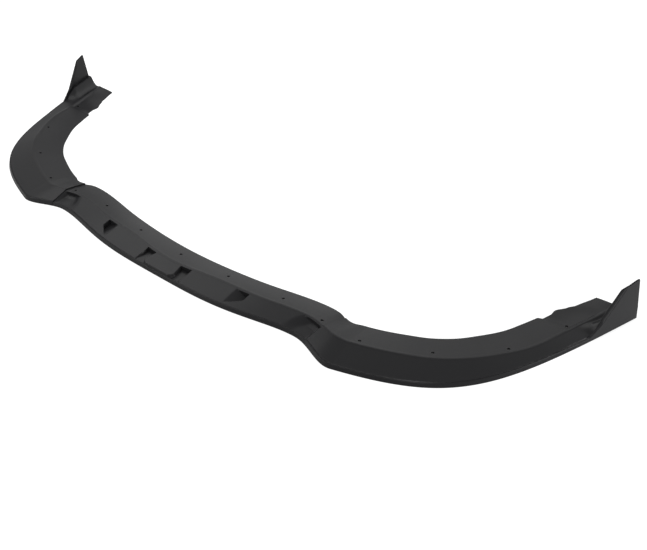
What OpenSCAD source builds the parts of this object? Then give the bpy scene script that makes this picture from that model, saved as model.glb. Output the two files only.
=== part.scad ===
// Front splitter lip for a car bumper, in three moulded pieces: a centre
// section and two wings that lap over its ends and sweep back to upright fins.
// Each piece is a thin shell, open underneath. Its section runs from the upright
// front lip, up a slope to the crest, and down the screw flange behind it.
// X is across the car, -Y is the front edge, Z is up from the level underside.

/* [Overall size] */
// Width over the rear ends of the two wings
lip_w = 1822; // [1740:2:1900]
// Depth from the foremost edge to the rearmost points of the wings
lip_d = 556; // [500:1:600]
// Wall thickness of the moulding
wall = 3; // [2.4:0.1:3.6]

/* [Front edge in plan] */
// Half width of the bowed centre, out to where each shoulder starts
centre_half = 385; // [360:1:400]
// How far the front edge falls back from the middle to the shoulder
centre_bow = 39; // [25:1:50]
// Distance from the middle to where the shoulder has stepped forward
shoulder_x = 505; // [490:1:520]
// Setback of the front edge there, behind the foremost edge
shoulder_setback = 10; // [4:1:16]
// Pull of the shoulder's curve where the wing leaves it
shoulder_pull = 36; // [25:1:45]
// Angle at which the wing leaves the shoulder
sweep_start_deg = 16.5; // [10:0.5:20]
// Pull of the corner curve at the shoulder
sweep_start_pull = 260; // [230:1:290]
// Angle of the wing at its rear end
sweep_end_deg = 73; // [68:1:78]
// Pull of the corner curve at the rear end
sweep_end_pull = 410; // [380:1:430]
// How far the outer corner of a wing's rear end lies ahead of its inner corner
tail_slant = 7; // [3:0.5:11]

/* [Section] */
// Height of the upright front lip
lip_h = 10; // [8:0.5:13]
// How far the front lip leans back over its height
lip_lean = 2.5; // [1:0.5:4]
// Depth of the groove where the slope meets the lip
lip_groove = 0.8; // [0:0.1:1.2]
// Height of the crest between slope and flange
crest_h = 20; // [17:0.5:24]
// Half width of the rounded crest
crest_round = 5; // [3:0.5:7]
// Width of the slope at the middle of the lip
slope_w_middle = 47; // [42:1:54]
// Width of the slope beside the small notches
slope_w_notch = 61; // [55:1:66]
// Width of the slope at the shoulders
slope_w_shoulder = 53; // [48:1:58]
// Width of the slope on the front of a wing
slope_w_wing = 71; // [64:1:76]
// Width of the slope at the rear end of a wing
slope_w_tail = 45; // [42:1:48]
// Overall width of the section at the middle of the lip
span_middle = 117; // [110:1:124]
// Overall width beside the small notches
span_notch = 123; // [116:1:130]
// Overall width at the seam between centre and wing
span_seam = 119; // [112:1:126]
// Overall width on the front of a wing
span_wing = 150; // [140:1:158]
// Overall width at the rear end of a wing
span_tail = 97; // [90:1:104]

/* [Centre tongue and notches] */
// Half width of the raised tongue in the middle
tongue_half = 41; // [34:1:44]
// Height of the tongue's front above the slope
tongue_rise = 6; // [3:0.5:8]
// How much each front corner of the tongue is rounded off
tongue_corner = 12; // [8:1:14]
// How much wider the tongue is towards its front
tongue_flare = 9; // [6:1:10]
// Width of the pocket at each side of the tongue
tongue_pocket_w = 29; // [24:1:32]
// Height of the floors of the pockets
pocket_floor = 9; // [7.5:0.5:11]
// Distance from the middle to the near edge of each small notch
notch_x = 199; // [180:1:215]
// Width of a notch below the crest
notch_w = 32; // [28:1:40]
// Width over which a notch's floor falls to its full depth
notch_fall = 26; // [16:1:28]
// Depth of a notch below the crest
notch_depth = 12; // [8:0.5:12.5]
// Depth of the scoop in the slope before each seam
scoop_depth = 8; // [4:0.5:8.5]
// Distance from the middle to the near edge of a scoop
scoop_x = 342; // [330:1:350]
// Width over which a scoop's floor falls to its full depth
scoop_fall = 46; // [30:1:50]

/* [Seam] */
// Length of the tab under the wing
lap_len = 24; // [16:1:30]
// Clearance between the tab and the wing above it
lap_gap = 0.3; // [0.2:0.05:0.5]
// Gap between the end faces of centre and wing
seam_gap = 0.4; // [0.2:0.1:0.8]

/* [Fins] */
// Height of the top of a fin
fin_h = 111; // [96:1:120]
// How much lower the front end of a fin's top is
fin_top_drop = 6; // [0:0.5:10]
// Length of a fin along its top
fin_top_len = 34; // [26:1:42]
// Length covered by the raked leading edge
fin_rake_len = 57; // [46:1:66]
// Distance from the rear end to the fin's top rear corner
fin_tail_rake = 17; // [10:1:24]
// How far the top of a fin leans inboard
fin_lean = 2.5; // [0:0.5:6]
// Height of the foot that carries a fin
fin_foot_h = 36; // [30:1:40]
// Width of that foot
fin_foot_w = 13; // [11:1:16]
// Height of the floor of the trough behind the foot
trough_h = 5; // [3.5:0.5:7]
// Width of the rim turned inboard along the leading edge
fin_rim_w = 10; // [7:0.5:12]

/* [Screw holes] */
// Diameter of the screw holes in the flange
screw_d = 6.5; // [5:0.5:8]
// Diameter of the boss under each hole
boss_d = 14; // [12:0.5:18]
// Wall through which each hole runs, at its middle
boss_wall = 4; // [3.5:0.5:6]
// Distance from the crest to the hole in the middle
screw_inset_middle = 36; // [30:1:42]
// Distance from the crest to the other holes of the centre
screw_inset_centre = 26; // [20:1:32]
// Distance from the crest to the holes near the seams and in the wings
screw_inset_wing = 14; // [11:1:18]

/* [Hidden] */
$fn = 48;
plastic = [0.09, 0.09, 0.10];

// Station of the seam. A station is 0 at the middle of the lip, 1 where the
// shoulder starts, 2 where it ends and 3 at the rear end of the wing.
seam_u = 1.26;
shoulder_len = shoulder_x - centre_half;
tab_end_u = seam_u + lap_len / shoulder_len;
wing_start_u = seam_u + seam_gap / shoulder_len;
edge_round = 1.2;
shelf_w = wall + lip_lean;
bow_power = 1.8;
fin_t = wall + 0.5;

// Smooth step from 0 to 1
function ease(t) = t * t * (3 - 2 * t);

// Value at station u on a row of [station, value] pairs, eased between them
function key(u, k) =
    u <= k[0][0] ? k[0][1] :
    u >= k[len(k) - 1][0] ? k[len(k) - 1][1] :
    let (j = max([for (n = [0 : len(k) - 2]) if (k[n][0] <= u) n]),
         t = (u - k[j][0]) / (k[j + 1][0] - k[j][0]))
    k[j][1] + (k[j + 1][1] - k[j][1]) * ease(t);

// 1 within half of the centre, falling to 0 over the edge width
function plateau(x, half, edge) = max(0, min(1, (half + edge - abs(x)) / edge));

function bezier(p, t) =
    pow(1 - t, 3) * p[0] + 3 * t * pow(1 - t, 2) * p[1]
    + 3 * t * t * (1 - t) * p[2] + pow(t, 3) * p[3];
function bezier_heading(p, t) =
    let (d = pow(1 - t, 2) * (p[1] - p[0]) + 2 * t * (1 - t) * (p[2] - p[1])
             + t * t * (p[3] - p[2]))
    atan2(d[1], d[0]);

function polar(r, deg) = r * [cos(deg), sin(deg)];

// Setback of the outer rear corner of a wing
rear_y = lip_d - tail_slant;

// Control points of the shoulder and of the corner sweep, as [x, setback]
shoulder_pts = [
    [centre_half, centre_bow], [centre_half + 43, centre_bow],
    [shoulder_x, shoulder_setback] - polar(shoulder_pull, sweep_start_deg), [shoulder_x, shoulder_setback]];
sweep_pts = [
    [shoulder_x, shoulder_setback],
    [shoulder_x, shoulder_setback] + polar(sweep_start_pull, sweep_start_deg),
    [lip_w / 2, rear_y] - polar(sweep_end_pull, sweep_end_deg), [lip_w / 2, rear_y]];

// Front edge at a station, as [x, y]
function front_edge(u) =
    let (p = u <= 1 ? [u * centre_half, centre_bow * ease(pow(u, bow_power))]
           : u <= 2 ? bezier(shoulder_pts, u - 1) : bezier(sweep_pts, u - 2))
    p - [0, lip_d / 2];

// Direction in plan in which the section is laid out from the front edge
function ruling_deg(u) =
    u <= 2 ? key(u, [[0.7, 90], [seam_u, 82], [2, 80 + sweep_start_deg]])
    : 90 + bezier_heading(sweep_pts, u - 2)
      + key(u, [[2, -10], [2.25, 0], [2.75, 0],
                [3, 90 - sweep_end_deg - asin(tail_slant / span_tail)]]);

// Widths and heights along the lip
slope_keys = [
    [0, slope_w_middle], [0.42, slope_w_notch], [0.75, slope_w_shoulder + 2],
    [seam_u, slope_w_shoulder], [2, slope_w_wing], [2.25, slope_w_wing - 1],
    [2.5, slope_w_wing - 13], [2.75, slope_w_tail - 7], [2.9, slope_w_tail], [3, slope_w_tail]];
span_keys = [
    [0, span_middle], [0.5, span_notch], [1.1, span_notch - 1], [seam_u, span_seam],
    [2, span_wing], [2.25, span_wing - 1], [2.5, span_wing - 11], [2.75, span_tail + 18],
    [2.838, span_tail + 17], [2.848, span_tail + 9], [2.875, span_tail + 10],
    [2.9, span_tail + 16], [2.93, span_tail + 9], [2.95, span_tail + 4], [3, span_tail]];
crest_keys = [
    [2.5, crest_h], [2.75, crest_h - 5], [2.87, crest_h - 8], [2.95, crest_h - 8.5],
    [3, crest_h - 11]];
foot_start_u = 2.876;
foot_u = 2.922;
lip_keys = [
    [foot_start_u, lip_h], [foot_u, fin_foot_h], [2.9972, fin_foot_h], [3, lip_h + 4]];
lean_keys = [[2.75, lip_lean], [foot_start_u, 0]];
shelf_keys = [[foot_start_u, shelf_w], [foot_u, fin_foot_w]];
tail_dish_keys = [[2.84, 0], [2.87, 1], [2.93, 1], [2.98, 0]];
trough_keys = [[2.88, 0], [foot_u + 0.01, 1]];

// How much higher a wing runs than the centre section that it laps over
function wing_rise(u) = key(u, [[1.55, wall], [2.2, 0]]);

// Far edge of a small notch, at a share t of the slope's width
function notch_end(t) = notch_x - 2 + (notch_w + 2) * max(0, min(1, (t - 0.08) / 0.5));

// Edge of the tongue at a share t of the slope's width, flared towards the
// front and rounded off at the corner
pocket_end = tongue_half + 3 + tongue_pocket_w;
function tongue_edge(t) =
    tongue_half + tongue_flare * (1 - t) - tongue_corner * pow(max(0, 1 - t / 0.35), 2);

// How far the slope is sunk, at a share t of its width, by the pockets beside
// the tongue, the small notches and the scoop before the seam
function sink(u, t, z) =
    let (x = front_edge(u)[0],
         pocket = max(0, min(1, (x - tongue_edge(t)) / 3)) * max(0, min(1, (pocket_end - x) / 3)),
         notch = max(0, min(1, (x - notch_x) / notch_fall))
                 * max(0, min(1, (notch_end(t) - x) / 2.5 + 1)),
         scoop = ease(max(0, min(1, (x - scoop_x) / scoop_fall)))
                 * ease(max(0, min(1, (seam_u - u) / 0.07))))
    max(pocket * (z - pocket_floor), notch * min(notch_depth, z - wall - 2.5),
        scoop * scoop_depth * min(1, 0.3 + t));

// How far the slope is lifted by the tongue, at a share t of its width
function lift(u, t) =
    tongue_rise * (1 - t) * plateau(u * centre_half, tongue_edge(t), 2.5);

// Top of the shell at a station, as [distance from front edge, height]
slope_shares = [0.12, 0.35, 0.6, 0.8];
function top_line(u, rise) =
    let (w1 = key(u, slope_keys), w2 = key(u, span_keys),
         zl = key(u, lip_keys) + rise, zc = key(u, crest_keys) + rise,
         ws = key(u, shelf_keys), w5 = w1 - crest_round, z5 = zc - 0.24 * crest_round,
         lean = key(u, lean_keys), dish = key(u, tail_dish_keys), trough = key(u, trough_keys),
         z8 = (zc + wall + rise) / 2)
    concat(
        [[lean, zl - edge_round], [lean + edge_round, zl]],
        [[ws, zl - lip_groove + lift(u, 0)]],
        [for (t = slope_shares)
            let (z = zl + (z5 - zl) * t,
                 zt = trough_h + (zl - trough_h) * pow(1 - t, 2) + (z5 - trough_h) * pow(t, 3))
            [ws + (w5 - ws) * t, z + (zt - z) * trough + lift(u, t) - sink(u, t, z)]],
        [[w5, z5 - sink(u, 1, z5)], [w1, zc],
         [w1 + crest_round * 1.2, zc - 0.3 * crest_round - dish * 0.4 * (zc - wall)],
         [w1 + (w2 - w1) * 0.5, z8 - dish * (z8 - wall - 0.8)],
         [w2, wall + rise]]);

// Closed section of the shell
function shell_section(u, rise) =
    let (top = top_line(u, rise), n = len(top), zl = top[1][1], lean = key(u, lean_keys))
    concat([[0, 0]], top,
           [for (j = [n - 1 : -1 : 2]) top[j] - [0, wall]],
           [[wall + lean, zl - wall - lip_groove], [wall, 0]]);

// Section of the tab that the wing covers, inside the centre's own wall
function tab_section(u) =
    let (top = top_line(u, 0), n = len(top))
    concat([for (j = [3 : n - 2]) top[j] - [0, lap_gap]],
           [for (j = [n - 2 : -1 : 3]) top[j] - [0, wall - lap_gap / 2]]);

// Point of the shell: signed station u, distance w from the front edge, height z
function place(u, w, z) =
    let (p = front_edge(abs(u)) + polar(w, ruling_deg(abs(u))))
    [u < 0 ? -p[0] : p[0], p[1], z];

// Solid through a row of sections, each laid out at its station
module loft(stations, sections) {
    m = len(stations);
    n = len(sections[0]);
    points = [for (i = [0 : m - 1]) for (q = sections[i]) place(stations[i], q[0], q[1])];
    sides = [for (i = [0 : m - 2]) for (j = [0 : n - 1])
        let (a = i * n + j, b = i * n + (j + 1) % n)
        each [[a, b, b + n], [a, b + n, a + n]]];
    first = [for (j = [n - 1 : -1 : 0]) j];
    last = [for (j = [0 : n - 1]) (m - 1) * n + j];
    polyhedron(points, concat([first], sides, [last]), convexity = 10);
}

// Stations at which the sections are taken
function even(a, b, n) = [for (i = [0 : n - 1]) a + (b - a) * i / n];
notch_breaks = concat(
    [notch_x, notch_x + notch_fall / 2, notch_x + notch_fall],
    [for (t = concat(slope_shares, [1])) for (e = [0, 2.5]) if (t < 1) notch_end(t) + e]);
tongue_breaks = concat(
    [0, 20], [for (e = [-3, 0, 2, 4, 6, 9]) tongue_half + e], [pocket_end - 3, pocket_end]);
function sorted(v) = len(v) < 2 ? v :
    let (p = v[floor(len(v) / 2)])
    concat(sorted([for (x = v) if (x < p) x]), [p], sorted([for (x = v) if (x > p) x]));
half_stations = concat(
    sorted(concat(
        [for (x = concat(tongue_breaks, notch_breaks)) x / centre_half],
        [0.24, 0.32, 0.4, 0.74, 0.82],
        even(0.885, 1, 5))),
    even(1, seam_u - 0.07, 5), even(seam_u - 0.07, seam_u, 4), [seam_u]);
centre_stations = concat(
    [for (i = [len(half_stations) - 1 : -1 : 1]) -half_stations[i]], half_stations);
tab_stations = concat([seam_u - 0.04], even(seam_u, tab_end_u, 4), [tab_end_u]);
wing_stations = concat(
    even(wing_start_u, 1.55, 5), even(1.55, 2, 8), even(2, 2.8, 18), even(2.8, 2.96, 16), [2.98, 2.9972, 3]);

// Screw holes as [station, distance from the crest]
centre_screws = [[0, screw_inset_middle], [0.38, screw_inset_centre],
                 [0.765, screw_inset_centre + 1], [1.13, screw_inset_wing - 3]];
wing_screws = [[2.022, screw_inset_wing], [2.343, screw_inset_wing + 5],
               [2.666, screw_inset_wing - 1], [2.868, screw_inset_wing - 1]];

// Height of the flange's top at a distance from the crest
function flange_z(u, rise, inset) =
    let (top = top_line(u, rise), w = key(u, slope_keys) + inset,
         q = [for (j = [1 : len(top) - 1]) if (top[j - 1][0] <= w && w < top[j][0]) j][0],
         t = (w - top[q - 1][0]) / (top[q][0] - top[q - 1][0]))
    top[q - 1][1] + (top[q][1] - top[q - 1][1]) * t;

// Boss with a level underside, below the flange at each hole
module screw_boss(u, inset, rise) {
    z = flange_z(abs(u), rise, inset);
    translate(place(u, key(abs(u), slope_keys) + inset, z - boss_wall))
        cylinder(d = boss_d, h = boss_wall - wall / 2, $fn = 24);
}

// Upright hole at a station, through the whole height of the flange
module screw_hole(u, inset) {
    translate(place(u, key(abs(u), slope_keys) + inset, 0.5))
        cylinder(d = screw_d, h = crest_h + 2 * wall);
}

// Station on the sweep at which the front edge is a given length before its end
function fin_u(len, a = 2.5, b = 3, n = 24) =
    n == 0 ? (a + b) / 2 :
    front_edge((a + b) / 2)[1] < rear_y - lip_d / 2 - len
        ? fin_u(len, (a + b) / 2, b, n - 1) : fin_u(len, a, (a + b) / 2, n - 1);

fin_rake_top = fin_tail_rake + fin_top_len;
fin_foot_len = fin_rake_top + fin_rake_len;
fin_start_len = fin_foot_len + 31;
// Outline of a fin seen from the side, as [length before the rear end, height]
fin_outline = [
    [fin_start_len, lip_h], [fin_start_len - 16, lip_h + 11],
    [fin_foot_len, fin_foot_h - 3], [fin_rake_top + 1.5, fin_h - fin_top_drop - 2], [fin_rake_top, fin_h - fin_top_drop],
    [fin_tail_rake + 2, fin_h], [fin_tail_rake - 0.4, fin_h - 3],
    [3.6, fin_foot_h - 2], [0.2, lip_h]];

// Thin upright fin on the outer edge, leaning inboard
module fin_plate() {
    u = [for (q = fin_outline) fin_u(q[0])];
    sections = [for (q = fin_outline)
        let (lean = fin_lean * (q[1] - lip_h) / (fin_h - lip_h),
             z0 = min(lip_h - 2.5, q[1] - 2), low = q[0] < 1 ? lip_h - 4 : 2)
        [[0, low], [lean, q[1]], [lean + fin_t, q[1]], [fin_t, low]]];
    loft(u, sections);
}

// Rim turned inboard along the raked leading edge
module fin_rim() {
    ends = [[fin_foot_len - 2, fin_foot_h - 2], [fin_rake_top + 1.5, fin_h - fin_top_drop - 2]];
    points = [for (q = ends) for (back = [0, 4]) for (w = [0.4, fin_rim_w])
        let (lean = fin_lean * (q[1] - lip_h) / (fin_h - lip_h))
        place(fin_u(q[0] - back), w + lean, q[1])];
    hull()
        polyhedron(points, [[0, 1, 3, 2], [4, 6, 7, 5], [0, 4, 5, 1], [2, 3, 7, 6],
                            [0, 2, 6, 4], [1, 5, 7, 3]]);
}

module centre_section() {
    color(plastic)
    difference() {
        resize([0, 0, 0]) {
            loft(centre_stations, [for (u = centre_stations) shell_section(abs(u), 0)]);
            for (side = [0, 1])
                mirror([side, 0, 0])
                    loft(tab_stations, [for (u = tab_stations) tab_section(u)]);
            for (s = centre_screws) {
                screw_boss(s[0], s[1], 0);
                if (s[0] > 0)
                    screw_boss(-s[0], s[1], 0);
            }
        }
        for (s = centre_screws) {
            screw_hole(s[0], s[1]);
            if (s[0] > 0)
                screw_hole(-s[0], s[1]);
        }
    }
}

module wing() {
    difference() {
        resize([0, 0, 0]) {
            loft(wing_stations, [for (u = wing_stations) shell_section(u, wing_rise(u))]);
            fin_plate();
            fin_rim();
            for (s = wing_screws)
                screw_boss(s[0], s[1], wing_rise(s[0]));
        }
        for (s = wing_screws)
            screw_hole(s[0], s[1]);
    }
}

module wing_right() {
    color(plastic) wing();
}

module wing_left() {
    color(plastic) mirror([1, 0, 0]) wing();
}

centre_section();
wing_left();
wing_right();
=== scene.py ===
"""Front splitter lip in satin black plastic, on a white floor.

The lip is three thin mouldings: a bowed centre section and two wings that lap over its ends.
Each is one closed surface over two parameters. The station u runs along the front edge: 0 is
the middle, 1 the start of the shoulder, 2 its end and 3 the rear end of a wing. The row runs
round the section: up the front lip, over the slope and crest, down the flange and back
underneath. Shapes are worked out in millimetres, and the stage in metres.
"""
import math
from types import SimpleNamespace

import bpy
import numpy as np
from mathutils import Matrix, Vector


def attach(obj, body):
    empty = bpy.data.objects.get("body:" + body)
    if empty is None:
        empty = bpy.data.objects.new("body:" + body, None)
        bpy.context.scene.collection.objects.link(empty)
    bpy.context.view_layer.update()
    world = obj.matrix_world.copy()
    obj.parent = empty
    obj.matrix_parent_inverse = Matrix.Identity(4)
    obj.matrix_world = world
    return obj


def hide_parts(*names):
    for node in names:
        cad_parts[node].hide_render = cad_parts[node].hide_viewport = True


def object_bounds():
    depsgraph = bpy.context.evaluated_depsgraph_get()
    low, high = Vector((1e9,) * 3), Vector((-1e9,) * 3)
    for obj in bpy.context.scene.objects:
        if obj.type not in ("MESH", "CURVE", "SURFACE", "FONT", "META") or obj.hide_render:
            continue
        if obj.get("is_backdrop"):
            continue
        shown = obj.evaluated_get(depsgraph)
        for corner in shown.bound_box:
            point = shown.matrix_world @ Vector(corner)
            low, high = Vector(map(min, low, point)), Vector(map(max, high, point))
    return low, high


bl_info = {
    "name": "Front splitter lip",
    "version": (1, 0, 0),
    "blender": (4, 5, 0),
    "location": "View3D > Sidebar > Lip",
    "description": "Builds a three-piece front splitter lip and the stage it is seen on",
    "category": "Add Mesh",
}

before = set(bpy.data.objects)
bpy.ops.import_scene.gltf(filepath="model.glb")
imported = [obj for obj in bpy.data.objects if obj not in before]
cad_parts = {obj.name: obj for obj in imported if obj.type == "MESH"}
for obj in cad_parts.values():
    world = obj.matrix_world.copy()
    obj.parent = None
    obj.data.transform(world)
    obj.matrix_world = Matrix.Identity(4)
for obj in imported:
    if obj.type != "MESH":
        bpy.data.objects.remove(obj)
CAD_LOW, CAD_HIGH = (np.array(corner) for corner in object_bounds())
MM = 0.001


# Sizes and colours that a user would change

class LipSizes(bpy.types.PropertyGroup):
    """Sizes of the lip that a user would change."""

    width: bpy.props.FloatProperty(
        name="Width", description="Width over the rear ends of the wings",
        default=float(CAD_HIGH[0] - CAD_LOW[0]), unit="LENGTH")
    depth: bpy.props.FloatProperty(
        name="Depth", description="Depth from the foremost edge to the rearmost points",
        default=float(CAD_HIGH[1] - CAD_LOW[1]), unit="LENGTH")
    wall: bpy.props.FloatProperty(
        name="Wall", description="Wall thickness of the moulding", default=0.003, unit="LENGTH")
    lip_h: bpy.props.FloatProperty(
        name="Lip height", description="Height of the upright front lip",
        default=0.010, unit="LENGTH")
    crest_h: bpy.props.FloatProperty(
        name="Crest height", description="Height of the crest between slope and flange",
        default=0.020, unit="LENGTH")
    fin_h: bpy.props.FloatProperty(
        name="Fin height", description="Height of the top of a fin",
        default=float(CAD_HIGH[2]), unit="LENGTH")
    screw_d: bpy.props.FloatProperty(
        name="Screw hole", description="Diameter of the screw holes", default=0.0065, unit="LENGTH")


class LipLook(bpy.types.PropertyGroup):
    """Colour and finish of the plastic."""

    plastic: bpy.props.FloatVectorProperty(
        name="Plastic", description="Colour of the moulded plastic", subtype="COLOR",
        size=3, min=0, max=1, default=(0.016, 0.016, 0.017))
    roughness: bpy.props.FloatProperty(
        name="Roughness", description="Roughness of the satin surface",
        subtype="FACTOR", min=0, max=1, default=0.32)
    grain_depth: bpy.props.FloatProperty(
        name="Grain", description="Depth of the moulded grain", default=0.00004, unit="LENGTH")


def sizes():
    """The sizes in millimetres, by name."""
    group = bpy.context.scene.lip_sizes
    return SimpleNamespace(**{name: getattr(group, name) / MM for name in LipSizes.__annotations__})


# The line of the front edge: a bow, a shoulder and a corner sweep
CENTRE_HALF = 385.0             # half width of the bow
CENTRE_BOW = 39.0               # how far its ends lie behind its middle
BOW_POWER = 1.8                 # flattens the bow's middle
SHOULDER_X = 505.0              # where the shoulder ends and the sweep starts
SHOULDER_SETBACK = 10.0         # how far that point lies behind the foremost edge
SHOULDER_START_PULL = 43.0      # lengths of the two curves' handles
SHOULDER_PULL = 36.0
SWEEP_START_PULL = 260.0
SWEEP_END_PULL = 410.0
SWEEP_START_DEG = 16.5          # headings of the sweep's ends, from straight across
SWEEP_END_DEG = 73.0
TAIL_SLANT = 7.0                # how far the front edge stops before the rearmost point

# The seam, where a wing laps over the centre section
SEAM_U = 1.26
SEAM_GAP = 0.4
LAP_LEN = 24.0                  # how far the tab reaches under the wing
LAP_GAP = 0.3
TAB_ROOT_U = 0.04               # how far the tab starts before the seam
TAB_STATIONS = 24
WING_DROP = (1.55, 2.2)         # stations between which a wing comes down by the wall

# The section: distances back from the front edge, and heights
EDGE_ROUND = 1.8
LOWER_BEVEL = 0.5
LIP_LEAN = 2.5
LIP_GROOVE = 0.8
LIP_TAIL_MORE = 4.0             # how much higher the lip is at the wing's rear end
FOOT_INSET = 0.5                # the row before the slope where the tongue's front comes up
CREST_ROUND = 5.0
CREST_FRONT_DROP = 0.24         # drops and run of the rounding's ends, as shares of CREST_ROUND
CREST_BACK_DROP = 0.3
CREST_BACK_RUN = 1.2
CREST_STEP = (0.9, 0.2)         # from the slope's end to the start of the crest's curve
CREST_PEAK = 0.5                # how far the curve's middle handle stands over the crest
REAR_ROUND = 1.0
REAR_MID = 0.3                  # share of the rounding at its middle point
REAR_FACE = 1.6                 # height of the upright rear edge
DISH_CREST = 0.4                # share of its height over the wall that a dished crest loses
DISH_FLOOR = 0.8                # what the dished flange keeps above the wall's height
TROUGH_H = 5.0                  # height of the trough between fin and crest

# Tongue, pockets, notches and scoops of the centre section
TONGUE_HALF = 41.0
TONGUE_RISE = 6.0
TONGUE_FLARE = 9.0
TONGUE_CORNER = 12.0
TONGUE_CORNER_T = 0.35          # share of the slope over which the corner is rounded
TONGUE_SIDE = 2.5
POCKET_W = 32.0
POCKET_SIDE = 3.0
POCKET_FLOOR = 9.0
POCKET_END = TONGUE_HALF + POCKET_W
NOTCH_X = 199.0
NOTCH_W = 32.0
NOTCH_FALL = 26.0
NOTCH_SIDE = 2.5
NOTCH_POINT = 2.0               # how far before NOTCH_X the steep side starts at the front
NOTCH_SLANT = (0.08, 0.5)       # share of the slope where the slant starts, and share it takes
NOTCH_DEPTH = 12.0
NOTCH_FLOOR = 2.5               # least height of a notch's floor over the wall
SCOOP_X = 348.0
SCOOP_BEND = 16.0               # how much later a scoop starts at the crest than at the front
SCOOP_FALL = 28.0
SCOOP_DEPTH = 8.0
SCOOP_FRONT = 0.3               # share of the depth that is left at the front lip
SCOOP_RUNOUT_U = 0.07           # stations over which a scoop runs out before the seam

# Fins: lengths forward from the rear end, and heights
FIN_TOP_LEN = 34.0
FIN_RAKE_LEN = 57.0
FIN_TAIL_RAKE = 17.0
FIN_TOP_DROP = 6.0
FIN_FOOT_H = 36.0
FIN_FOOT_W = 13.0
FIN_TOE_LEN = 31.0              # how far the toe runs forward of the foot
FIN_TOE_MID = (15.0, 11.0)      # a point of the toe: forward of the foot, and over the lip
FIN_BOTTOM = 2.0                # the blade starts inside the moulding
FIN_FOOT_DROP = 3.0             # how far below the foot's height the front rake starts
FIN_NOSE = [(1.5, 2.0), (0.0, 0.5)]   # points that blunt the rake's top: forward of it, below it
FIN_TIP = (2.2, 4.0)            # rear and front end of the tip, forward of the tail's rake
FIN_TIP_DROP = 3.0              # how far below the tip the tail's rake ends
FIN_HEEL = (3.0, 0.4, 3.8)      # rear edge at the bottom, at the lip's height and at the foot
FIN_HEEL_DROP = 2.0             # how far below the foot's height the last of them lies
FIN_LEAN = 2.5
FIN_WALL_MORE = 0.5             # how much thicker than the wall a blade is
FIN_TOP_ROUND = 1.2
FIN_TOP_LEAST = 0.02            # keeps the thinned top edge from closing
FIN_RIM_W = 10.0
FIN_RIM_START = 8.0             # how far below the foot's height the rim starts
FIN_RIM_GROW = 10.0             # heights over which it grows, and tapers off at the top
FIN_RIM_TAPER = 9.0
FIN_RIM_FLAT = 2.5              # lengths over which it is whole, and falls back to the blade
FIN_RIM_FALL = 3.0
FIN_ROWS, FIN_END_ROWS, FIN_SIDE_ROWS = 10, 7, 41
FIN_TABLE = (2.5, 3, 4001)      # stations of the sweep's rear half, finely spaced

# Screw holes as (station, distance behind the crest), and the bosses under them
CENTRE_SCREWS = [(0, 36), (0.38, 26), (0.765, 27), (1.13, 11)]
WING_SCREWS = [(2.022, 14), (2.343, 19), (2.666, 13), (2.868, 13)]
HOLE_MARGIN = 1.5               # how far round a hole the quads give way
HOLE_BEVEL = 0.4
BOSS_R = 7.0
BOSS_TALL = 4.0
BOSS_SINK = 0.2
BOSS_STEP_DEG = 10

# How the section changes, as (station, value) pairs
TAIL_SPAN = 97
SLOPE_W = [(0, 47), (0.42, 61), (0.75, 55), (SEAM_U, 53), (2, 71), (2.25, 70),
           (2.5, 58), (2.75, 38), (2.9, 45), (3, 45)]
SPAN_W = [(0, 117), (0.5, 123), (1.1, 122), (SEAM_U, 119), (2, 150), (2.25, 149), (2.5, 139),
          (2.75, 115), (2.838, 114), (2.848, 106), (2.875, 107), (2.9, 113), (2.93, 106),
          (2.95, 101), (3, TAIL_SPAN)]
CREST_DROP = [(2.5, 0), (2.75, 5), (2.87, 8), (2.95, 8.5), (3, 11)]
FOOT_START_U = 2.876
FOOT_U = 2.922
FOOT_END_U = 2.9972
FOOT = [(FOOT_START_U, 0), (FOOT_U, 1)]
LEAN = [(2.75, LIP_LEAN), (FOOT_START_U, 0), (FOOT_U, 1.5)]
TAIL_DISH = [(2.84, 0), (2.87, 1), (2.93, 1), (2.98, 0)]
TROUGH = [(2.88, 0), (FOOT_U + 0.01, 1)]
TAIL_TURN = 90 - SWEEP_END_DEG - math.degrees(math.asin(TAIL_SLANT / TAIL_SPAN))
CENTRE_RULING = [(0.7, 90), (SEAM_U, 82), (2, 80 + SWEEP_START_DEG)]
SWEEP_RULING = [(2, -10), (2.25, 0), (2.75, 0), (3, TAIL_TURN)]
WING_BREAKS = [2, 2.8, 2.838, 2.848, FOOT_START_U, FOOT_U, FOOT_END_U, 3]

# Averaging along the corner sweep, in stations
CALM_REACH = 0.15
CALM_FADE = 0.3
CALM_END_U = 2.82
CALM_COUNT = 21

# Rows round the section, and steps along it
EDGE_ROWS, SLOPE_ROWS, CREST_ROWS, FLANGE_ROWS = 5, 30, 7, 22
LIP_TOP_ROW = 1 + EDGE_ROWS
SLOPE_ROW = LIP_TOP_ROW + 2
TOP_COUNT = SLOPE_ROW + 2 + SLOPE_ROWS + 1 + CREST_ROWS + FLANGE_ROWS + 2
REAR_ROW = TOP_COUNT - 3
SLOPE_FIRST_T = 0.015
FINE_STEP, COARSE_STEP = 1, 4
SHOULDER_STEP_U, WING_STEP_U = 0.01, 0.004
SHARP_DEG = 28

# The plastic's shader
IOR = 1.46
SHEEN_FACING = (0.3, 0.8)
SHEEN_LEVEL = (0.12, 0.02)
CLOUD_SCALE, CLOUD_DETAIL = 9, 3
GLOSS_SWING = 0.05
GRAIN_SCALE, GRAIN_DETAIL, GRAIN_STRENGTH = 900, 2, 0.35

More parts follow.
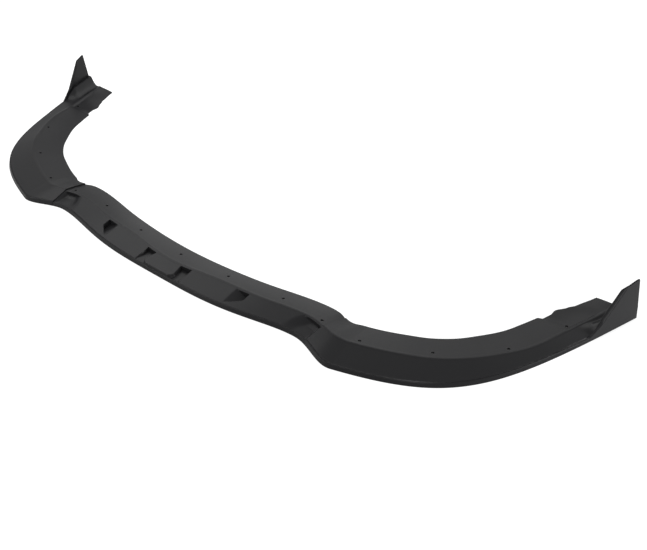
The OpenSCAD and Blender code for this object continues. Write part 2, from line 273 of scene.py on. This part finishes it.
# The stage: lamps as name, place, side, watts and whether they light or are only reflected
LAMPS = [
    ("back_lamp", (-0.3, 1.9, 1.3), 1.0, 4, True),
    ("flange_lamp", (-0.7, 1.0, 0.55), 1.0, 3.4, True),
    ("top_lamp", (-1.0, 0.14, 1.17), 1.0, 8, True),
    ("front_lamp", (0.2, -2.4, 1.6), 1.0, 18, True),
    ("right_lamp", (2.6, 0.5, 0.4), 0.7, 30, True),
    ("strip_lamp", (-0.9, -1.7, 0.4), 1.0, 16, False),
    ("rim_lamp", (1.6, -1.9, 1.6), 0.6, 28, False),
]
ROOM_LIGHT, ROOM_SEEN = 0.4, 1.0
FLOOR_HALF = 30
FLOOR_GREY = 0.35
FLOOR_SEEN = 0.88
# Painted shade in the floor's glow: how far it looks for cover, its samples, and the openness over
# which it fades in
SHADE_REACH, SHADE_SAMPLES = 0.04, 8
SHADE_RANGE = (0.1, 0.6)
CAMERA_PLACE = (1.31489, -1.27686, 1.20977)
CAMERA_TURN_DEG = (53, 0, 39.337)
CAMERA_LENS, CAMERA_SENSOR = 49.18, 36


# Curves in plan

def ease(t):
    """Smooth step: t squared times (3 less 2 t), with t held between 0 and 1."""
    t = np.clip(t, 0, 1)
    return t * t * (3 - 2 * t)


def key(u, pairs):
    """Value at station u on (station, value) pairs, eased from each pair to the next."""
    at, value = np.array(pairs, float).T
    u = np.clip(u, at[0], at[-1])
    j = np.clip(np.searchsorted(at, u, side="right") - 1, 0, len(at) - 2)
    return value[j] + (value[j + 1] - value[j]) * ease((u - at[j]) / (at[j + 1] - at[j]))


def calm(u, pairs):
    """key() averaged over stations up to CALM_REACH either way, along the corner sweep only.

    The reach is eased in over CALM_FADE from the sweep's start and out before CALM_END_U, so
    the rest of the lip stays as it is."""
    reach = CALM_REACH * ease((u - 2) / CALM_FADE) * ease((CALM_END_U - u) / CALM_FADE)
    return np.mean([key(u + reach * d, pairs) for d in np.linspace(-1, 1, CALM_COUNT)], axis=0)


def polar(r, deg):
    """Vector of length r at an angle: r times its cosine and sine."""
    return r * np.array([math.cos(math.radians(deg)), math.sin(math.radians(deg))])


def bezier(points, t):
    """Cubic curve: its four points weighted by the powers of t and of 1 less t, for every t."""
    t = t[..., None]
    p = np.array(points, float)
    return ((1 - t) ** 3 * p[0] + 3 * t * (1 - t) ** 2 * p[1]
            + 3 * t * t * (1 - t) * p[2] + t ** 3 * p[3])


def bezier_heading(points, t):
    """Angle of the curve's derivative, in degrees."""
    t = t[..., None]
    p = np.array(points, float)
    d = (1 - t) ** 2 * (p[1] - p[0]) + 2 * t * (1 - t) * (p[2] - p[1]) + t * t * (p[3] - p[2])
    return np.degrees(np.arctan2(d[..., 1], d[..., 0]))


def control_points(s):
    """Control points of the shoulder and of the corner sweep, as (x, setback)."""
    end = np.array([s.width / 2, s.depth - TAIL_SLANT])
    mid = np.array([SHOULDER_X, SHOULDER_SETBACK])
    shoulder = [(CENTRE_HALF, CENTRE_BOW), (CENTRE_HALF + SHOULDER_START_PULL, CENTRE_BOW),
                mid - polar(SHOULDER_PULL, SWEEP_START_DEG), mid]
    sweep = [mid, mid + polar(SWEEP_START_PULL, SWEEP_START_DEG),
             end - polar(SWEEP_END_PULL, SWEEP_END_DEG), end]
    return shoulder, sweep


def front_edge(s, u):
    """Front edge at station u as (x, y): a bow as far as station 1, then two cubic curves.

    The bow lies back by CENTRE_BOW times the smooth step of u raised to BOW_POWER."""
    shoulder, sweep = control_points(s)
    bow = np.stack([u * CENTRE_HALF, CENTRE_BOW * ease(np.abs(np.clip(u, 0, 1)) ** BOW_POWER)], -1)
    step = bezier(shoulder, np.clip(u - 1, 0, 1))
    swept = bezier(sweep, np.clip(u - 2, 0, 1))
    p = np.where((u <= 1)[..., None], bow, np.where((u <= 2)[..., None], step, swept))
    return p - np.array([0, s.depth / 2])


def ruling_deg(s, u, between):
    """Plan angle at which the section is laid out from the front edge.

    Up to station 2 it follows CENTRE_RULING. On the sweep it is square to the heading, plus
    the turn that SWEEP_RULING gives."""
    sweep = control_points(s)[1]
    back = key(u, CENTRE_RULING)
    turn = 90 + bezier_heading(sweep, np.clip(u - 2, 0, 1)) + between(u, SWEEP_RULING)
    return np.where(u <= 2, back, turn)


def plan(s, u, w, between=calm):
    """Plan point at distance w behind the front edge: the edge plus w along the ruling."""
    a = np.radians(ruling_deg(s, u, between))
    return front_edge(s, u) + w[..., None] * np.stack([np.cos(a), np.sin(a)], -1)


# The section

def plateau(x, half, edge):
    """1 within half of 0, falling straight to 0 over edge."""
    return np.clip((half + edge - np.abs(x)) / edge, 0, 1)


def wing_rise(s, u):
    """How much higher a wing runs than the centre that it laps over: the wall, eased to 0."""
    return key(u, [(WING_DROP[0], s.wall), (WING_DROP[1], 0)])


def tongue_edge(t):
    """Half width of the tongue at share t of the slope.

    It is flared straight towards the front, less a corner that grows as the square of the
    distance into it."""
    corner = max(0, 1 - t / TONGUE_CORNER_T) ** 2
    return TONGUE_HALF + TONGUE_FLARE * (1 - t) - TONGUE_CORNER * corner


def tongue_lift(u, t):
    """How far the tongue lifts the slope at share t: most at the front, nothing at the crest."""
    return TONGUE_RISE * (1 - t) * plateau(u * CENTRE_HALF, tongue_edge(t), TONGUE_SIDE)


def sink(s, u, x, t, z):
    """How far the slope is sunk at share t of its width: the deepest of three hollows.

    A pocket has steep sides and a level floor. A notch falls gently and ends at a steep side
    that slants across the slope. A scoop is eased in over x and out before the seam."""
    pocket = (np.clip((x - tongue_edge(t)) / POCKET_SIDE, 0, 1)
              * np.clip((POCKET_END - x) / POCKET_SIDE, 0, 1))
    slant = min(1, max(0, (t - NOTCH_SLANT[0]) / NOTCH_SLANT[1]))
    far = NOTCH_X - NOTCH_POINT + (NOTCH_W + NOTCH_POINT) * slant
    notch = (np.clip((x - NOTCH_X) / NOTCH_FALL, 0, 1)
             * np.clip((far - x) / NOTCH_SIDE + 1, 0, 1))
    scoop = (ease((x - SCOOP_X - SCOOP_BEND * t * t) / SCOOP_FALL)
             * ease((SEAM_U - u) / SCOOP_RUNOUT_U))
    deep = np.minimum(NOTCH_DEPTH, z - s.wall - NOTCH_FLOOR)
    return np.maximum(np.maximum(pocket * (z - POCKET_FLOOR), notch * deep),
                      scoop * SCOOP_DEPTH * min(1, SCOOP_FRONT + t))


def top_rows(s, u, rise):
    """Top of the section at stations u as (w, z) arrays of shape (stations, rows).

    Front lip with a quarter circle for its edge, a straight slope that bends into the trough
    at the rear, the crest as a quadratic curve, a flange that bows by half a sine wave down to
    the wall's height, and a rounded rear edge."""
    one = np.ones_like(u)
    crest_w, span_w = calm(u, SLOPE_W), calm(u, SPAN_W)
    foot, dish, trough, lean = (key(u, pairs) for pairs in (FOOT, TAIL_DISH, TROUGH, LEAN))
    lip_z = key(u, [(FOOT_START_U, s.lip_h), (FOOT_U, FIN_FOOT_H), (FOOT_END_U, FIN_FOOT_H),
                    (3, s.lip_h + LIP_TAIL_MORE)]) + rise
    crest_z = s.crest_h - key(u, CREST_DROP) + rise
    x = front_edge(s, u)[:, 0]

    w, z = [LOWER_BEVEL * one, 0 * one], [0 * one, LOWER_BEVEL * one]
    for a in np.linspace(0, 90, EDGE_ROWS):
        across, up = polar(1, a)
        w.append(lean + EDGE_ROUND * (1 - across))
        z.append(lip_z - EDGE_ROUND * (1 - up))

    slope_w = s.wall + LIP_LEAN + (FIN_FOOT_W - s.wall - LIP_LEAN) * foot
    flat = slope_w - lean - EDGE_ROUND
    front_lift = tongue_lift(u, 0)
    w += [slope_w - FOOT_INSET, slope_w]
    z += [lip_z - LIP_GROOVE * (flat - FOOT_INSET) / flat + front_lift,
          lip_z - LIP_GROOVE + front_lift]

    end_w, end_z = crest_w - CREST_ROUND, crest_z - CREST_FRONT_DROP * CREST_ROUND
    for t in (SLOPE_FIRST_T, *np.linspace(0, 1, SLOPE_ROWS + 1)[1:]):
        straight = lip_z + (end_z - lip_z) * t
        bent = TROUGH_H + (lip_z - TROUGH_H) * (1 - t) ** 2 + (end_z - TROUGH_H) * t ** 3
        w.append(slope_w + (end_w - slope_w) * t)
        z.append(straight + (bent - straight) * trough + tongue_lift(u, t)
                 - sink(s, u, x, t, straight))

    start_w, start_z = end_w + CREST_STEP[0], end_z + CREST_STEP[1]
    w.append(start_w)
    z.append(start_z)
    back_w = crest_w + CREST_ROUND * CREST_BACK_RUN
    back_z = crest_z - CREST_BACK_DROP * CREST_ROUND - dish * DISH_CREST * (crest_z - s.wall)
    for t in np.linspace(0, 1, CREST_ROWS + 1)[1:]:
        w.append((1 - t) ** 2 * start_w + 2 * t * (1 - t) * crest_w + t * t * back_w)
        z.append((1 - t) ** 2 * start_z + 2 * t * (1 - t) * (crest_z + CREST_PEAK)
                 + t * t * back_z)

    rear_w, rear_z = span_w - REAR_ROUND, s.wall + rise
    middle_z = (crest_z + s.wall + rise) / 2
    middle_z = middle_z - dish * (middle_z - s.wall - DISH_FLOOR)
    for t in np.linspace(0, 1, FLANGE_ROWS + 1)[1:]:
        w.append(back_w + (rear_w - back_w) * t)
        z.append(back_z + (rear_z - back_z) * t
                 + (middle_z - (back_z + rear_z) / 2) * np.sin(np.pi * t))
    w += [span_w - REAR_MID * REAR_ROUND, span_w]
    z += [rear_z - REAR_MID * REAR_ROUND, rear_z - REAR_ROUND]
    return np.stack(w, 1), np.stack(z, 1)


def section(s, u, rise):
    """Closed section: the top rows, the same rows a wall lower, and the inside of the lip."""
    w, z = top_rows(s, u, rise)
    inner = slice(SLOPE_ROW, REAR_ROW + 1)
    low_w, low_z = w[:, inner][:, ::-1], z[:, inner][:, ::-1] - s.wall
    lip = z[:, LIP_TOP_ROW:LIP_TOP_ROW + 1] - s.wall - LIP_GROOVE
    wall, lean = np.full_like(lip, s.wall), key(u, LEAN)[:, None]
    w = np.concatenate([w, w[:, -1:], low_w, wall + lean, wall, wall - LOWER_BEVEL], 1)
    z = np.concatenate([z, z[:, -1:] - REAR_FACE, low_z, lip, 0 * lip + LOWER_BEVEL, 0 * lip], 1)
    return w, z


def shell(s, u, rise):
    """Skin of one moulding: its sections laid out in plan at stations u, negative on the left."""
    a = np.abs(u)
    w, z = section(s, a, rise)
    p = plan(s, np.broadcast_to(a[:, None], w.shape), w)
    x = np.where(u[:, None] < 0, -p[..., 0], p[..., 0])
    return np.stack([x, p[..., 1], z], -1)


# Surfaces as (points, quads, caps)

def loft(points):
    """Quads through a grid of closed sections, with both ends capped by one face each."""
    m, n = points.shape[:2]
    i, j = np.meshgrid(np.arange(m - 1), np.arange(n), indexing="ij")
    k = (j + 1) % n
    quads = np.stack([i * n + j, i * n + k, (i + 1) * n + k, (i + 1) * n + j], -1).reshape(-1, 4)
    caps = [np.arange(n)[::-1], (m - 1) * n + np.arange(n)]
    return points.reshape(-1, 3), quads, caps


def mirrored(surface):
    """The same surface on the other side: x changes its sign, and every face turns round."""
    points, quads, caps = surface
    return points * (-1, 1, 1), quads[:, ::-1], [cap[::-1] for cap in caps]


def ring_faces(outer, inner):
    """Quads between two rings of equally many vertices, turning with the outer one."""
    return np.stack([outer, np.roll(outer, -1), np.roll(inner, -1), inner], -1)


def hole_place(s, station, inset):
    """Plan point of a hole, at the crest's distance plus inset; stations left are negative."""
    a = np.array([abs(station)])
    x, y = plan(s, a, key(a, SLOPE_W) + inset, key)[0]
    return np.array([math.copysign(x, station) if station else x, y])


def near_span(track, middle, reach):
    """First and last index of a track of points, one past those within reach of middle."""
    clear = np.flatnonzero(np.hypot(*(track - middle).T) < reach)
    return clear[0] - 1, clear[-1] + 1


def punched(s, u, rise, screws):
    """The skin with a round hole at each (station, distance behind the crest).

    A block of quads on the top and the same block underneath give way to rings of points. A
    ring lies at the hole's radius from its middle, at the plan angle of each point of the
    block's edge, and its height follows the plane fitted through that edge."""
    grid = shell(s, u, rise)
    n = grid.shape[1]
    points, quads, caps = loft(grid)
    gone, extra, added, base = np.zeros(len(quads), bool), [], [], len(points)
    r = s.screw_d / 2
    under = TOP_COUNT + 1 + REAR_ROW    # row j of the top lies over row under - j
    for station, inset in screws:
        middle = hole_place(s, station, inset)
        top = grid[:, :TOP_COUNT, :2]
        away = np.abs(top - middle).sum(-1)
        near, target = np.unravel_index(away.argmin(), away.shape)
        i0, i1 = near_span(top[:, target], middle, r + HOLE_MARGIN)
        j0, j1 = near_span(top[near], middle, r + HOLE_MARGIN)
        edge = ([(i0, j) for j in range(j0, j1)] + [(i, j1) for i in range(i0, i1)]
                + [(i1, j) for j in range(j1, j0, -1)] + [(i, j0) for i in range(i1, i0, -1)])
        i, j = np.array(edge).T
        for a in range(i0, i1):
            gone[a * n + np.arange(j0, j1)] = True
            gone[a * n + under - np.arange(j0 + 1, j1 + 1)] = True
        spot = grid[i, j]
        angle = np.arctan2(spot[:, 1] - middle[1], spot[:, 0] - middle[0])
        ray = np.stack([np.cos(angle), np.sin(angle)], -1)
        plane = np.linalg.lstsq(np.c_[spot[:, :2] - middle, np.ones(len(spot))], spot[:, 2],
                                rcond=None)[0]
        for radius, drop in ((r + HOLE_BEVEL, 0), (r, HOLE_BEVEL), (r, s.wall)):
            xy = radius * ray
            added.append(np.c_[middle + xy, xy @ plane[:2] + plane[2] - drop])
        first = base + np.arange(len(edge))
        second, third = first + len(edge), first + 2 * len(edge)
        base += 3 * len(edge)
        extra += [ring_faces(i * n + j, first), ring_faces(first, second),
                  ring_faces(second, third), ring_faces(third, i * n + under - j)]
    quads = np.concatenate([quads[~gone]] + extra)
    return np.concatenate([points] + added), quads, caps


def boss(s, middle, z):
    """Ring under a hole: five circles joined into a small closed tube with a level underside."""
    turn = np.radians(np.arange(0, 360, BOSS_STEP_DEG))
    low = z - (BOSS_TALL - s.wall / 2)
    r, loops = s.screw_d / 2, []
    for radius, height in ((r, z), (BOSS_R, z), (BOSS_R, low + HOLE_BEVEL),
                           (BOSS_R - HOLE_BEVEL, low), (r, low)):
        loops.append(np.stack([middle[0] + radius * np.cos(turn), middle[1] + radius * np.sin(turn),
                               height + 0 * turn], -1))
    grid = np.stack(loops, 1)
    m, n = grid.shape[:2]
    i, j = np.meshgrid(np.arange(m), np.arange(n), indexing="ij")
    i2, j2 = (i + 1) % m, (j + 1) % n
    quads = np.stack([i * n + j, i2 * n + j, i2 * n + j2, i * n + j2], -1).reshape(-1, 4)
    return grid.reshape(-1, 3), quads, []


def bosses(s, rise, screws):
    """The bosses of a moulding, just under the flange's top at each hole."""
    made = []
    for station, inset in screws:
        a = np.array([abs(station)])
        w, z = top_rows(s, a, rise(a))
        height = np.interp(key(a, SLOPE_W) + inset, w[0, SLOPE_ROW:], z[0, SLOPE_ROW:])[0]
        made.append(boss(s, hole_place(s, station, inset), height - s.wall / 2 - BOSS_SINK))
    return made


def tab(s):
    """Tab that the wing covers: slope and flange, a lap gap below the wing's wall."""
    u = np.linspace(SEAM_U - TAB_ROOT_U, SEAM_U + LAP_LEN / (SHOULDER_X - CENTRE_HALF),
                    TAB_STATIONS)
    w, z = (rows[:, SLOPE_ROW:REAR_ROW + 1] for rows in top_rows(s, u, 0 * u))
    grid_w = np.concatenate([w, w[:, ::-1]], 1)
    grid_z = np.concatenate([z - LAP_GAP, z[:, ::-1] - s.wall + LAP_GAP / 2], 1)
    p = plan(s, np.broadcast_to(u[:, None], grid_w.shape), grid_w)
    return loft(np.concatenate([p, grid_z[..., None]], -1))


def fin_station(s, length):
    """Station whose front edge lies a given length in y before its end, read off a fine table."""
    u = np.linspace(*FIN_TABLE)
    y = front_edge(s, u)[:, 1]
    return np.interp(y[-1] - length, y, u)


def fin(s):
    """Upright fin: a loft over height of closed loops round a thin blade.

    At each height the blade runs between the straight-edged front and rear outlines, follows
    the front edge in plan and leans inboard in proportion to its height over the lip. Its ends
    are half circles, its top edge thins as a square root, and the rim widens the front end."""
    rake_top = FIN_TAIL_RAKE + FIN_TOP_LEN
    foot = rake_top + FIN_RAKE_LEN
    front_top = s.fin_h - FIN_TOP_DROP
    toe, (mid_len, mid_h) = foot + FIN_TOE_LEN, FIN_TOE_MID
    front = np.array([(toe, FIN_BOTTOM), (toe, s.lip_h), (foot + mid_len, s.lip_h + mid_h),
                      (foot, FIN_FOOT_H - FIN_FOOT_DROP),
                      *[(rake_top + ahead, front_top - below) for ahead, below in FIN_NOSE],
                      (FIN_TAIL_RAKE + FIN_TIP[1], s.fin_h)])
    rear = np.array([(FIN_HEEL[0], FIN_BOTTOM), (FIN_HEEL[1], s.lip_h),
                     (FIN_HEEL[2], FIN_FOOT_H - FIN_HEEL_DROP),
                     (FIN_TAIL_RAKE, s.fin_h - FIN_TIP_DROP),
                     (FIN_TAIL_RAKE + FIN_TIP[0], s.fin_h)])
    z = np.unique(np.concatenate([np.linspace(a, b, FIN_ROWS)
                                  for a, b in zip(front[:-1, 1], front[1:, 1])]))
    f, r = np.interp(z, *front.T[::-1]), np.interp(z, *rear.T[::-1])
    thick = s.wall + FIN_WALL_MORE
    turn = np.radians(np.linspace(0, 180, FIN_END_ROWS))
    along = np.linspace(0, 1, FIN_SIDE_ROWS)
    half = thick / 2 * np.sqrt(np.clip((s.fin_h - z) / FIN_TOP_ROUND, FIN_TOP_LEAST, 1))[:, None]
    lean = (FIN_LEAN * (z - s.lip_h) / (s.fin_h - s.lip_h)).clip(0)[:, None]
    rim = (ease((z - FIN_FOOT_H + FIN_RIM_START) / FIN_RIM_GROW)
           * np.clip((front_top - z) / FIN_RIM_TAPER, 0, 1))[:, None]

    def at(length, w):
        """Points a given length before the rear end and w behind the front edge."""
        p = plan(s, fin_station(s, length), w)
        return np.stack([p[..., 0], p[..., 1], np.broadcast_to(z[:, None], w.shape)], -1)

    body = f[:, None] - half + (r - f)[:, None] * along + 2 * half * along
    fall = ease((f[:, None] - body - FIN_RIM_FLAT) / FIN_RIM_FALL)
    rim_w = rim * (FIN_RIM_W - thick) * (1 - fall)
    outer = at(body, lean + thick / 2 - half + 0 * body)
    rear_end = at(r[:, None] + half * (1 - np.sin(turn)), lean + thick / 2 - half * np.cos(turn))
    inner = at(body[:, ::-1], lean + thick / 2 + half + rim_w[:, ::-1])
    front_end = at(f[:, None] - half * (1 - np.sin(turn)),
                   lean + thick / 2 + half * np.cos(turn) + rim_w[:, :1] * (1 + np.cos(turn)) / 2)
    return loft(np.concatenate([outer, rear_end[:, 1:-1], inner, front_end[:, 1:-1]], 1))


# Stations

def spread(breaks, step):
    """Stations through every break, with gaps between them no longer than step."""
    breaks = np.unique(np.round(breaks, 7))
    runs = [np.linspace(a, b, max(1, math.ceil((b - a) / step)), endpoint=False)
            for a, b in zip(breaks[:-1], breaks[1:])]
    return np.concatenate(runs + [breaks[-1:]])


def centre_stations():
    """Stations of the centre section, closer together across pockets and notches."""
    side = TONGUE_HALF + TONGUE_FLARE - TONGUE_CORNER - FINE_STEP
    side_end = TONGUE_HALF + TONGUE_FLARE + POCKET_SIDE
    notch_end = NOTCH_X + NOTCH_W + NOTCH_SIDE
    fine = [np.array([side, side_end]), np.array([POCKET_END - POCKET_SIDE, POCKET_END]),
            np.array([NOTCH_X, NOTCH_X + NOTCH_FALL, notch_end])]
    coarse = np.array([0, side, side_end, POCKET_END - POCKET_SIDE, POCKET_END, NOTCH_X,
                       notch_end, SCOOP_X, CENTRE_HALF])
    u = np.concatenate([spread(part / CENTRE_HALF, FINE_STEP / CENTRE_HALF) for part in fine]
                       + [spread(coarse / CENTRE_HALF, COARSE_STEP / CENTRE_HALF),
                          spread([1, SEAM_U - SCOOP_RUNOUT_U, SEAM_U], SHOULDER_STEP_U)])
    half = np.unique(np.round(u, 6))
    return np.concatenate([-half[:0:-1], half])


# Pieces and their finish

def make_mesh(name, surfaces):
    """One object from surfaces in millimetres, shaded smooth except across sharp edges."""
    verts, faces, base = [], [], 0
    for points, quads, caps in surfaces:
        verts.append(points)
        faces += (quads + base).tolist() + [(cap + base).tolist() for cap in caps]
        base += len(points)
    mesh = bpy.data.meshes.new(name)
    mesh.from_pydata((np.concatenate(verts) * MM).tolist(), [], faces)
    mesh.validate()
    mesh.update()
    mesh.shade_smooth()
    obj = bpy.data.objects.new(name, mesh)
    bpy.context.scene.collection.objects.link(obj)
    sharpen(mesh, SHARP_DEG)
    return obj


def sharpen(mesh, limit_deg):
    """Marks as sharp every edge whose two faces turn by more than limit_deg."""
    normals = np.empty(len(mesh.polygons) * 3, np.float32)
    mesh.polygons.foreach_get("normal", normals)
    normals = normals.reshape(-1, 3)
    loops = np.empty(len(mesh.loops), np.int32)
    mesh.loops.foreach_get("edge_index", loops)
    totals = np.empty(len(mesh.polygons), np.int32)
    mesh.polygons.foreach_get("loop_total", totals)
    face_of = np.repeat(np.arange(len(totals)), totals)
    order = np.argsort(loops, kind="stable")
    edge, face = loops[order], face_of[order]
    pair = np.flatnonzero(edge[1:] == edge[:-1])
    dot = (normals[face[pair]] * normals[face[pair + 1]]).sum(1)
    sharp = np.zeros(len(mesh.edges), bool)
    sharp[edge[pair]] = dot < math.cos(math.radians(limit_deg))
    layer = mesh.attributes.new("sharp_edge", "BOOLEAN", "EDGE")
    layer.data.foreach_set("value", sharp)


def finish_piece(obj, material, *nodes):
    """Gives a piece its material and its body, and hides the CAD nodes that it stands for."""
    obj.data.materials.append(material)
    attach(obj, "root")
    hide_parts(*nodes)


def new_node(tree, kind, **values):
    """New shader node; the values are written on its sockets, with _ for a space in a name."""
    node = tree.nodes.new(f"ShaderNode{kind}")
    for socket, value in values.items():
        node.inputs[socket.replace("_", " ")].default_value = value
    return node


def plastic_material():
    """Satin black moulded plastic with a fine grain and slightly uneven gloss.

    The specular level falls in a straight line as the surface turns away from the view."""
    material = bpy.data.materials.get("black_plastic_satin")
    if material:
        return material
    look = bpy.context.scene.lip_look
    material = bpy.data.materials.new("black_plastic_satin")
    material.use_nodes = True
    tree, links = material.node_tree, material.node_tree.links
    shader = tree.nodes["Principled BSDF"]
    shader.inputs["Base Color"].default_value = (*look.plastic, 1)
    shader.inputs["IOR"].default_value = IOR
    facing = new_node(tree, "LayerWeight")
    sheen = new_node(tree, "MapRange", From_Min=SHEEN_FACING[0], From_Max=SHEEN_FACING[1],
                     To_Min=SHEEN_LEVEL[0], To_Max=SHEEN_LEVEL[1])
    links.new(facing.outputs["Facing"], sheen.inputs["Value"])
    links.new(sheen.outputs["Result"], shader.inputs["Specular IOR Level"])
    coord = new_node(tree, "TexCoord")
    cloud = new_node(tree, "TexNoise", Scale=CLOUD_SCALE, Detail=CLOUD_DETAIL)
    links.new(coord.outputs["Object"], cloud.inputs["Vector"])
    gloss = new_node(tree, "MapRange", To_Min=look.roughness - GLOSS_SWING,
                     To_Max=look.roughness + GLOSS_SWING)
    links.new(cloud.outputs["Fac"], gloss.inputs["Value"])
    links.new(gloss.outputs["Result"], shader.inputs["Roughness"])
    grain = new_node(tree, "TexNoise", Scale=GRAIN_SCALE, Detail=GRAIN_DETAIL)
    links.new(coord.outputs["Object"], grain.inputs["Vector"])
    bump = new_node(tree, "Bump", Strength=GRAIN_STRENGTH, Distance=look.grain_depth)
    links.new(grain.outputs["Fac"], bump.inputs["Height"])
    links.new(bump.outputs["Normal"], shader.inputs["Normal"])
    return material


class LIP_OT_centre(bpy.types.Operator):
    """Builds the bowed centre section"""

    bl_idname = "lip.centre"
    bl_label = "Centre section"

    def execute(self, context):
        s = sizes()
        u = centre_stations()
        screws = [(-station, inset) for station, inset in CENTRE_SCREWS[:0:-1]] + CENTRE_SCREWS
        obj = make_mesh("centre_skin", [punched(s, u, 0 * u, screws), tab(s), mirrored(tab(s)),
                                        *bosses(s, np.zeros_like, screws)])
        finish_piece(obj, plastic_material(), "centre_section")
        return {"FINISHED"}


class LIP_OT_wings(bpy.types.Operator):
    """Builds the two swept wings with their fins"""

    bl_idname = "lip.wings"
    bl_label = "Wings"

    def execute(self, context):
        s = sizes()
        start = SEAM_U + SEAM_GAP / (SHOULDER_X - CENTRE_HALF)
        u = spread([start, *WING_BREAKS], WING_STEP_U)

        def rise(a):
            """How much higher the wing runs at stations a."""
            return wing_rise(s, a)

        right = [punched(s, u, rise(u), WING_SCREWS), fin(s), *bosses(s, rise, WING_SCREWS)]
        left = [mirrored(surface) for surface in right]
        for side, surfaces in (("right", right), ("left", left)):
            obj = make_mesh(f"wing_{side}_skin", surfaces)
            finish_piece(obj, plastic_material(), f"wing_{side}")
        return {"FINISHED"}


# The stage

class LIP_OT_stage(bpy.types.Operator):
    """Builds the floor, the lamps, the world and the camera"""

    bl_idname = "lip.stage"
    bl_label = "Stage"

    def execute(self, context):
        scene = context.scene
        floor()
        for row in LAMPS:
            lamp(*row)
        world = bpy.data.worlds.new("white_room")
        world.use_nodes = True
        back = world.node_tree.nodes["Background"]
        back.inputs["Color"].default_value = (1, 1, 1, 1)
        level = white_to_camera(world.node_tree, ROOM_LIGHT, ROOM_SEEN)
        world.node_tree.links.new(level, back.inputs["Strength"])
        scene.world = world
        camera_data = bpy.data.cameras.new("photo_camera")
        camera_data.sensor_fit = "HORIZONTAL"
        camera_data.sensor_width = CAMERA_SENSOR
        camera_data.lens = CAMERA_LENS
        camera = bpy.data.objects.new("photo_camera", camera_data)
        camera.location = CAMERA_PLACE
        camera.rotation_euler = [math.radians(turn) for turn in CAMERA_TURN_DEG]
        scene.collection.objects.link(camera)
        camera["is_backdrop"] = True
        scene.camera = camera
        scene.view_settings.view_transform = "Standard"
        return {"FINISHED"}


def floor():
    """White floor at the level of the lip's underside, white to the camera but for shade.

    What the camera sees is the floor's own glow, times how open the spot is to the sky. That is
    painted shade under the lip and in its holes, while the grey under the glow takes real shadows
    from the lamps."""
    mesh = bpy.data.meshes.new("floor")
    half = FLOOR_HALF
    mesh.from_pydata([(-half, -half, 0), (half, -half, 0), (half, half, 0), (-half, half, 0)],
                     [], [(0, 1, 2, 3)])
    obj = bpy.data.objects.new("floor", mesh)
    bpy.context.scene.collection.objects.link(obj)
    material = bpy.data.materials.new("white_floor")
    material.use_nodes = True
    tree = material.node_tree
    shader = tree.nodes["Principled BSDF"]
    shader.inputs["Base Color"].default_value = (FLOOR_GREY, FLOOR_GREY, FLOOR_GREY, 1)
    shader.inputs["Specular IOR Level"].default_value = 0
    shader.inputs["Roughness"].default_value = 1
    shader.inputs["Emission Color"].default_value = (1, 1, 1, 1)
    # Painted shade: the glow is dimmed where the lip hides the sky, so the floor darkens under the
    # lip and in the screw holes
    cover = new_node(tree, "AmbientOcclusion", Distance=SHADE_REACH)
    cover.samples = SHADE_SAMPLES
    open_share = new_node(tree, "MapRange", From_Min=SHADE_RANGE[0], From_Max=SHADE_RANGE[1])
    tree.links.new(cover.outputs["AO"], open_share.inputs["Value"])
    strength = new_node(tree, "Math")
    strength.operation = "MULTIPLY"
    tree.links.new(white_to_camera(tree, 0, FLOOR_SEEN), strength.inputs[0])
    tree.links.new(open_share.outputs["Result"], strength.inputs[1])
    tree.links.new(strength.outputs["Value"], shader.inputs["Emission Strength"])
    mesh.materials.append(material)
    obj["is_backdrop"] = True


def white_to_camera(tree, plain, seen):
    """Output that is seen for camera, glossy and transmission rays, and plain for the rest."""
    path = new_node(tree, "LightPath")
    rays = path.outputs["Is Camera Ray"]
    for name in ("Is Glossy Ray", "Is Transmission Ray"):
        either = new_node(tree, "Math")
        either.operation = "MAXIMUM"
        tree.links.new(rays, either.inputs[0])
        tree.links.new(path.outputs[name], either.inputs[1])
        rays = either.outputs[0]
    level = new_node(tree, "MapRange", To_Min=plain, To_Max=seen)
    tree.links.new(rays, level.inputs["Value"])
    return level.outputs["Result"]


def lamp(name, place, side, watts, lights):
    """Square area lamp aimed at the middle of the lip; one that doesn't light is only reflected."""
    data = bpy.data.lights.new(name, "AREA")
    data.size, data.energy = side, watts
    obj = bpy.data.objects.new(name, data)
    obj.location = place
    x, y, z = place
    obj.rotation_euler = (math.atan2(math.hypot(x, y), z), 0, math.atan2(x, -y))
    obj.visible_diffuse = lights
    bpy.context.scene.collection.objects.link(obj)
    obj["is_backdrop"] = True


# The add-on

class LIP_PT_panel(bpy.types.Panel):
    """Sizes, colours and the steps that build the lip."""

    bl_idname = "LIP_PT_panel"
    bl_label = "Front splitter lip"
    bl_space_type = "VIEW_3D"
    bl_region_type = "UI"
    bl_category = "Lip"

    def draw(self, context):
        for group in (context.scene.lip_sizes, context.scene.lip_look):
            for name in group.__annotations__:
                self.layout.prop(group, name)
        for operator in (LIP_OT_centre, LIP_OT_wings, LIP_OT_stage):
            self.layout.operator(operator.bl_idname)


CLASSES = (LipSizes, LipLook, LIP_OT_centre, LIP_OT_wings, LIP_OT_stage, LIP_PT_panel)


def register():
    """Registers the classes and hangs the two property groups on the scene."""
    for cls in CLASSES:
        bpy.utils.register_class(cls)
    bpy.types.Scene.lip_sizes = bpy.props.PointerProperty(type=LipSizes)
    bpy.types.Scene.lip_look = bpy.props.PointerProperty(type=LipLook)


def unregister():
    """Takes back what register did."""
    del bpy.types.Scene.lip_look
    del bpy.types.Scene.lip_sizes
    for cls in reversed(CLASSES):
        bpy.utils.unregister_class(cls)


def main():
    """Builds the lip and its stage."""
    register()
    bpy.ops.lip.centre()
    bpy.ops.lip.wings()
    bpy.ops.lip.stage()


if __name__ == "__main__":
    main()
